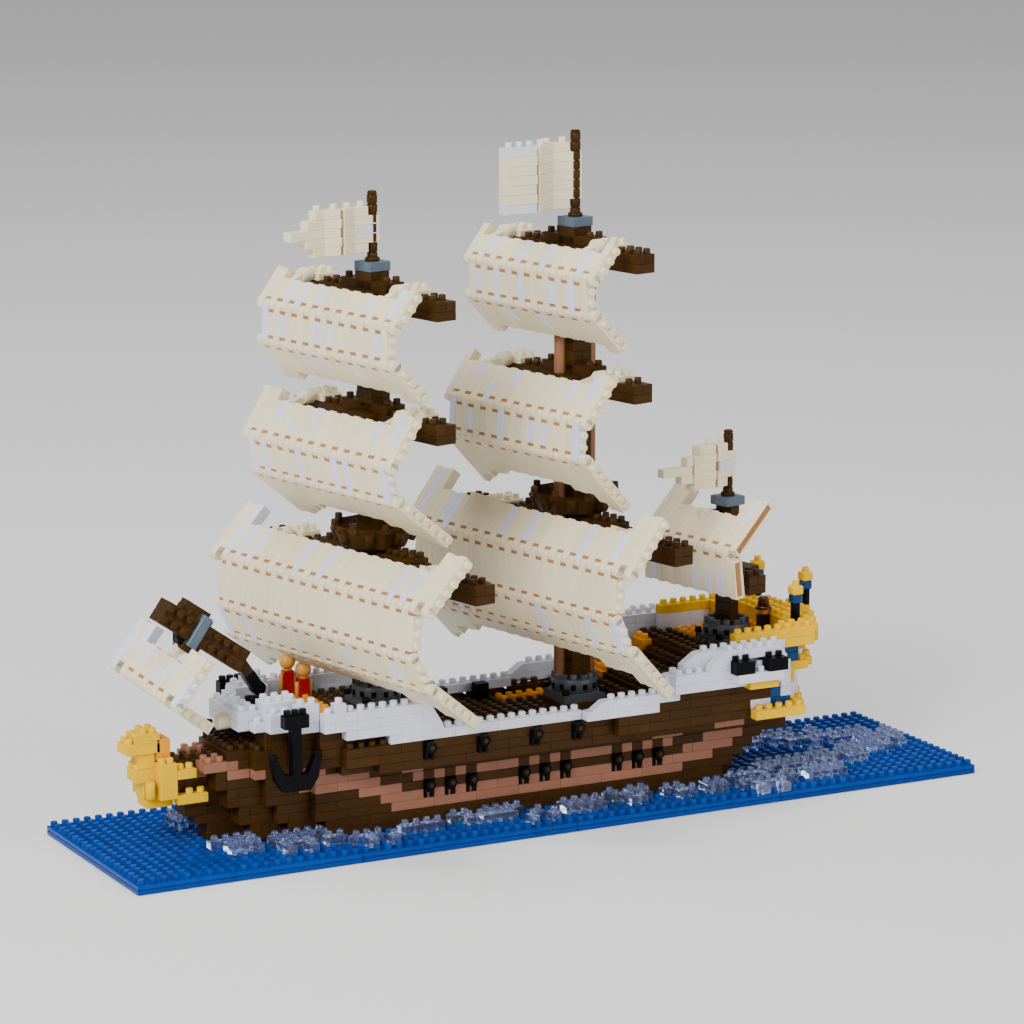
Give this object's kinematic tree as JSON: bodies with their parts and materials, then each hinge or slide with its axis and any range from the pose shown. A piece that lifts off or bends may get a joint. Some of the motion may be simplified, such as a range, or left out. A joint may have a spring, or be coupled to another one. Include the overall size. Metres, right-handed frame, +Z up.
{
  "type": "toy brick sailing ship model",
  "caption": "Three-masted sailing ship built of tiny studded bricks, standing on a blue studded sea base, with square sails, flags, guns and a carved stern.",
  "frame": {"origin": "underside of the sea base, on the main mast's axis", "axes": "+X towards the bow, +Y to port, +Z up"},
  "size_m": [0.3197, 0.1216, 0.232],
  "materials": {
    "sea_blue": "clear blue tinted plastic",
    "dark_brown": "semi-gloss moulded",
    "red_brown": "semi-gloss moulded",
    "white": "semi-gloss moulded",
    "cream": "semi-gloss moulded",
    "yellow": "semi-gloss moulded",
    "golden": "semi-gloss moulded",
    "window_blue": "clear blue tinted plastic",
    "dark_grey": "satin moulded",
    "black": "semi-gloss moulded",
    "foam": "clear plastic"
  },
  "bodies": {
    "hull": {"sea_plate_1": "sea_blue", "sea_plate_2": "sea_blue", "sea_plate_3": "sea_blue", "sea_plate_4": "sea_blue", "hull_course_1": "dark_brown", "hull_course_2": "red_brown", "hull_course_3": "red_brown", "hull_course_4": "dark_brown", "hull_course_5": "red_brown", "hull_course_6": "dark_brown", "hull_course_7": "dark_brown", "hull_course_8": "dark_brown", "gun_wall_course": "dark_brown", "forecastle_deck": "golden", "quarter_deck": "golden", "poop_deck": "golden", "bulwark_port": "white", "bulwark_starboard": "white", "bow_wall": "white", "stern_ledge": "yellow", "stern_windows": "window_blue", "poop_rail": "yellow", "figurehead": "yellow", "anchor_port": "black", "anchor_starboard": "black", "bowsprit_step": "black", "fore_mast_ring": "dark_grey", "main_mast_ring": "dark_grey", "mizzen_mast_ring": "dark_grey", "bow_wave": "foam", "wake": "foam", "stern_moulding": "yellow", "captain": "golden", "lookout": "golden", "sailor": "golden"},
    "fore_spars": {"fore_mast": "dark_brown", "fore_flag": "cream", "fore_course_yard": "dark_brown", "fore_topsail_yard": "dark_brown", "fore_topgallant_yard": "dark_brown", "fore_top": "dark_brown"},
    "main_spars": {"main_mast": "dark_brown", "main_flag": "cream", "main_course_yard": "dark_brown", "main_topsail_yard": "dark_brown", "main_topgallant_yard": "dark_brown", "main_top": "dark_brown"},
    "mizzen_spars": {"mizzen_mast": "dark_brown", "mizzen_flag": "cream", "mizzen_course_yard": "dark_brown"},
    "fore_course": {"fore_course_sail": "cream"},
    "fore_topsail": {"fore_topsail_sail": "cream"},
    "fore_topgallant": {"fore_topgallant_sail": "cream"},
    "main_course": {"main_course_sail": "cream"},
    "main_topsail": {"main_topsail_sail": "cream"},
    "main_topgallant": {"main_topgallant_sail": "cream"},
    "mizzen_course": {"mizzen_course_sail": "cream"},
    "bowsprit": {"bowsprit": "dark_brown"},
    "spritsail": {"spritsail": "cream"}
  },
  "joints": [
    {"name": "fore_mast_turn", "type": "hinge", "parent": "hull", "child": "fore_spars", "pos_m": [0.076, 0, 0.0489], "axis": [0, 0, 1], "range_deg": [-8, 8]},
    {"name": "main_mast_turn", "type": "hinge", "parent": "hull", "child": "main_spars", "pos_m": [0, 0, 0.0425], "axis": [0, 0, 1], "range_deg": [-8, 8]},
    {"name": "mizzen_mast_turn", "type": "hinge", "parent": "hull", "child": "mizzen_spars", "pos_m": [-0.0608, 0, 0.0553], "axis": [0, 0, 1], "range_deg": [-8, 8]},
    {"name": "fore_course_tilt", "type": "hinge", "parent": "fore_spars", "child": "fore_course", "pos_m": [0.08342, 0.00164, 0.0954], "axis": [0.2164, -0.9763, 0], "range_deg": [0, 6]},
    {"name": "fore_topsail_tilt", "type": "hinge", "parent": "fore_spars", "child": "fore_topsail", "pos_m": [0.08342, 0.00164, 0.1448], "axis": [0.2164, -0.9763, 0], "range_deg": [0, 6]},
    {"name": "fore_topgallant_tilt", "type": "hinge", "parent": "fore_spars", "child": "fore_topgallant", "pos_m": [0.08225, 0.00138, 0.1856], "axis": [0.2164, -0.9763, 0], "range_deg": [0, 6]},
    {"name": "main_course_tilt", "type": "hinge", "parent": "main_spars", "child": "main_course", "pos_m": [0.00742, 0.00164, 0.0996], "axis": [0.2164, -0.9763, 0], "range_deg": [0, 6]},
    {"name": "main_topsail_tilt", "type": "hinge", "parent": "main_spars", "child": "main_topsail", "pos_m": [0.00742, 0.00164, 0.1512], "axis": [0.2164, -0.9763, 0], "range_deg": [0, 6]},
    {"name": "main_topgallant_tilt", "type": "hinge", "parent": "main_spars", "child": "main_topgallant", "pos_m": [0.00625, 0.00138, 0.1952], "axis": [0.2164, -0.9763, 0], "range_deg": [0, 6]},
    {"name": "mizzen_course_tilt", "type": "hinge", "parent": "mizzen_spars", "child": "mizzen_course", "pos_m": [-0.05299, 0.00173, 0.0944], "axis": [0.2164, -0.9763, 0], "range_deg": [0, 6]},
    {"name": "bowsprit_tilt", "type": "hinge", "parent": "hull", "child": "bowsprit", "pos_m": [0.1196, 0, 0.0528], "axis": [0, -1, 0], "range_deg": [0, 8]},
    {"name": "spritsail_swing", "type": "hinge", "parent": "bowsprit", "child": "spritsail", "pos_m": [0.1472, 0, 0.0692], "axis": [0.1285, -0.9764, 0.1736], "range_deg": [-4, 6]}
  ]
}
